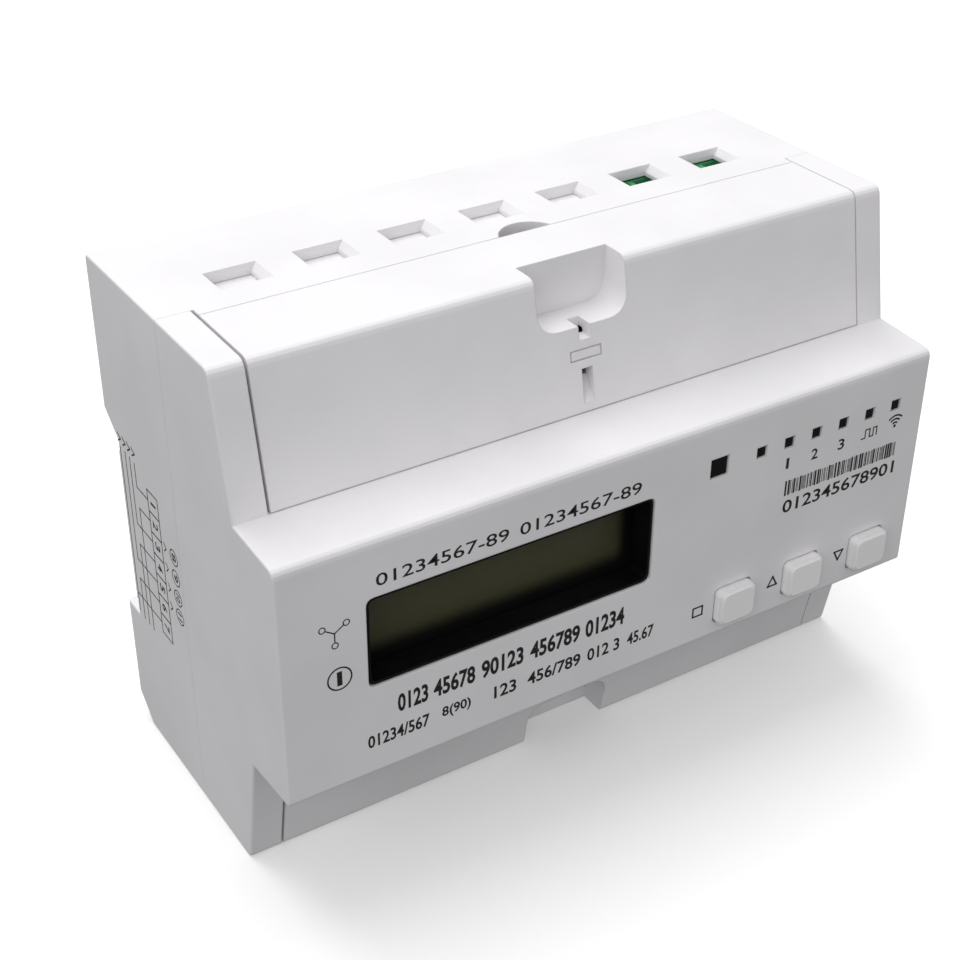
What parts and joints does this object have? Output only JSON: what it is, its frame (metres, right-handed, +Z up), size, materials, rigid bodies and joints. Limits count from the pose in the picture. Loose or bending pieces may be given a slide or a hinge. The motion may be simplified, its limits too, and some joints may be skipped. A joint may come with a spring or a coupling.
{
  "type": "three-phase energy meter",
  "caption": "Seven-module DIN-rail three-phase energy meter with display, push buttons, pull-off terminal covers, clamp terminals and a sprung rail clip.",
  "frame": {"origin": "centre of the footprint, at the bottom face that the housing stands on", "axes": "+X to the right as seen from the front, +Y backward into the mounting rail, +Z up; the display and buttons face -Y"},
  "size_m": [0.126, 0.0644, 0.092],
  "materials": {
    "housing_white": "fine satin moulded ABS",
    "button_white": "smooth satin moulded plastic",
    "bezel_black": "black satin moulding",
    "window_clear": "clear polished acrylic",
    "lcd_glass": "olive reflective display glass",
    "diffuser_white": "milky diffuser",
    "board_green": "green solder mask on glass fibre board",
    "shield_tin": "tinned shield",
    "switch_black": "black key switch",
    "smoked_lens": "smoked light pipe",
    "core_steel": "varnished core laminations with a taped winding",
    "can_sleeve": "shrink sleeve on a capacitor can",
    "ring_blue": "potted blue transformer case",
    "strap_copper": "bare rolled copper",
    "carrier_black": "black moulded terminal carrier",
    "plated_steel": "nickel plated steel",
    "terminal_green": "green moulded polyamide",
    "clip_black": "black moulded polyamide",
    "spring_steel": "spring steel wire",
    "screw_zinc": "zinc plated screw"
  },
  "bodies": {
    "housing": {"rear_housing": "housing_white", "front_housing": "housing_white", "display_bezel": "bezel_black", "display_window": "window_clear", "lcd_panel": "lcd_glass", "lcd_backlight": "diffuser_white", "display_board": "board_green", "main_board": "board_green", "wifi_module": "shield_tin", "key_switch_set": "switch_black", "key_switch_up": "switch_black", "key_switch_down": "switch_black", "optical_port": "smoked_lens", "led_pipe_1": "smoked_lens", "led_pipe_2": "smoked_lens", "led_pipe_3": "smoked_lens", "led_pipe_4": "smoked_lens", "led_pipe_5": "smoked_lens", "led_pipe_6": "smoked_lens", "supply_transformer": "core_steel", "supply_capacitor": "can_sleeve", "current_transformer_1": "ring_blue", "phase_strap_1": "strap_copper", "current_transformer_2": "ring_blue", "phase_strap_2": "strap_copper", "current_transformer_3": "ring_blue", "phase_strap_3": "strap_copper", "terminal_carrier": "carrier_black", "terminal_cage_1": "plated_steel", "terminal_cage_2": "plated_steel", "terminal_cage_3": "plated_steel", "terminal_cage_4": "plated_steel", "terminal_cage_5": "plated_steel", "terminal_cage_6": "plated_steel", "terminal_cage_7": "plated_steel", "blank_terminal_strip": "housing_white", "aux_terminal_block_1": "terminal_green", "aux_terminal_block_2": "terminal_green", "clip_spring": "spring_steel", "housing_screw_1": "screw_zinc", "housing_screw_2": "screw_zinc", "housing_screw_3": "screw_zinc", "housing_screw_4": "screw_zinc"},
    "top_terminal_cover": {"top_terminal_cover": "housing_white"},
    "bottom_terminal_cover": {"bottom_terminal_cover": "housing_white"},
    "button_set": {"button_set": "button_white"},
    "button_up": {"button_up": "button_white"},
    "button_down": {"button_down": "button_white"},
    "rail_clip": {"rail_clip": "clip_black"},
    "terminal_screw_1": {"terminal_screw_1": "plated_steel"},
    "terminal_screw_2": {"terminal_screw_2": "plated_steel"},
    "terminal_screw_3": {"terminal_screw_3": "plated_steel"},
    "terminal_screw_4": {"terminal_screw_4": "plated_steel"},
    "terminal_screw_5": {"terminal_screw_5": "plated_steel"},
    "terminal_screw_6": {"terminal_screw_6": "plated_steel"},
    "terminal_screw_7": {"terminal_screw_7": "plated_steel"},
    "aux_screw_1": {"aux_screw_1": "plated_steel"},
    "aux_screw_2": {"aux_screw_2": "plated_steel"},
    "aux_screw_3": {"aux_screw_3": "plated_steel"},
    "aux_screw_4": {"aux_screw_4": "plated_steel"}
  },
  "joints": [
    {"name": "top_terminal_cover_pull", "type": "slide", "parent": "housing", "child": "top_terminal_cover", "axis": [0, -1, 0], "range_m": [0, 0.014]},
    {"name": "bottom_terminal_cover_pull", "type": "slide", "parent": "housing", "child": "bottom_terminal_cover", "axis": [0, -1, 0], "range_m": [0, 0.014]},
    {"name": "button_set_press", "type": "slide", "parent": "housing", "child": "button_set", "axis": [0, 1, 0], "range_m": [0, 0.0008], "stiffness_N_per_m": 900},
    {"name": "button_up_press", "type": "slide", "parent": "housing", "child": "button_up", "axis": [0, 1, 0], "range_m": [0, 0.0008], "stiffness_N_per_m": 900},
    {"name": "button_down_press", "type": "slide", "parent": "housing", "child": "button_down", "axis": [0, 1, 0], "range_m": [0, 0.0008], "stiffness_N_per_m": 900},
    {"name": "rail_clip_slide", "type": "slide", "parent": "housing", "child": "rail_clip", "axis": [0, 0, -1], "range_m": [0, 0.003], "stiffness_N_per_m": 500, "springref_m": -0.002, "deforming": ["clip_spring"]},
    {"name": "terminal_screw_1_turn", "type": "hinge", "parent": "housing", "child": "terminal_screw_1", "pos_m": [-0.04599, 0.00275, 0.0094], "axis": [0, -1, 0], "continuous": true},
    {"name": "terminal_screw_2_turn", "type": "hinge", "parent": "housing", "child": "terminal_screw_2", "pos_m": [-0.03066, 0.00275, 0.0094], "axis": [0, -1, 0], "continuous": true},
    {"name": "terminal_screw_3_turn", "type": "hinge", "parent": "housing", "child": "terminal_screw_3", "pos_m": [-0.01533, 0.00275, 0.0094], "axis": [0, -1, 0], "continuous": true},
    {"name": "terminal_screw_4_turn", "type": "hinge", "parent": "housing", "child": "terminal_screw_4", "pos_m": [0, 0.00275, 0.0094], "axis": [0, -1, 0], "continuous": true},
    {"name": "terminal_screw_5_turn", "type": "hinge", "parent": "housing", "child": "terminal_screw_5", "pos_m": [0.01533, 0.00275, 0.0094], "axis": [0, -1, 0], "continuous": true},
    {"name": "terminal_screw_6_turn", "type": "hinge", "parent": "housing", "child": "terminal_screw_6", "pos_m": [0.03066, 0.00275, 0.0094], "axis": [0, -1, 0], "continuous": true},
    {"name": "terminal_screw_7_turn", "type": "hinge", "parent": "housing", "child": "terminal_screw_7", "pos_m": [0.04599, 0.00275, 0.0094], "axis": [0, -1, 0], "continuous": true},
    {"name": "aux_screw_1_turn", "type": "hinge", "parent": "housing", "child": "aux_screw_1", "pos_m": [0.02811, 0.00575, 0.079], "axis": [0, -1, 0], "continuous": true},
    {"name": "aux_screw_2_turn", "type": "hinge", "parent": "housing", "child": "aux_screw_2", "pos_m": [0.03321, 0.00575, 0.079], "axis": [0, -1, 0], "continuous": true},
    {"name": "aux_screw_3_turn", "type": "hinge", "parent": "housing", "child": "aux_screw_3", "pos_m": [0.04344, 0.00575, 0.079], "axis": [0, -1, 0], "continuous": true},
    {"name": "aux_screw_4_turn", "type": "hinge", "parent": "housing", "child": "aux_screw_4", "pos_m": [0.04854, 0.00575, 0.079], "axis": [0, -1, 0], "continuous": true}
  ]
}
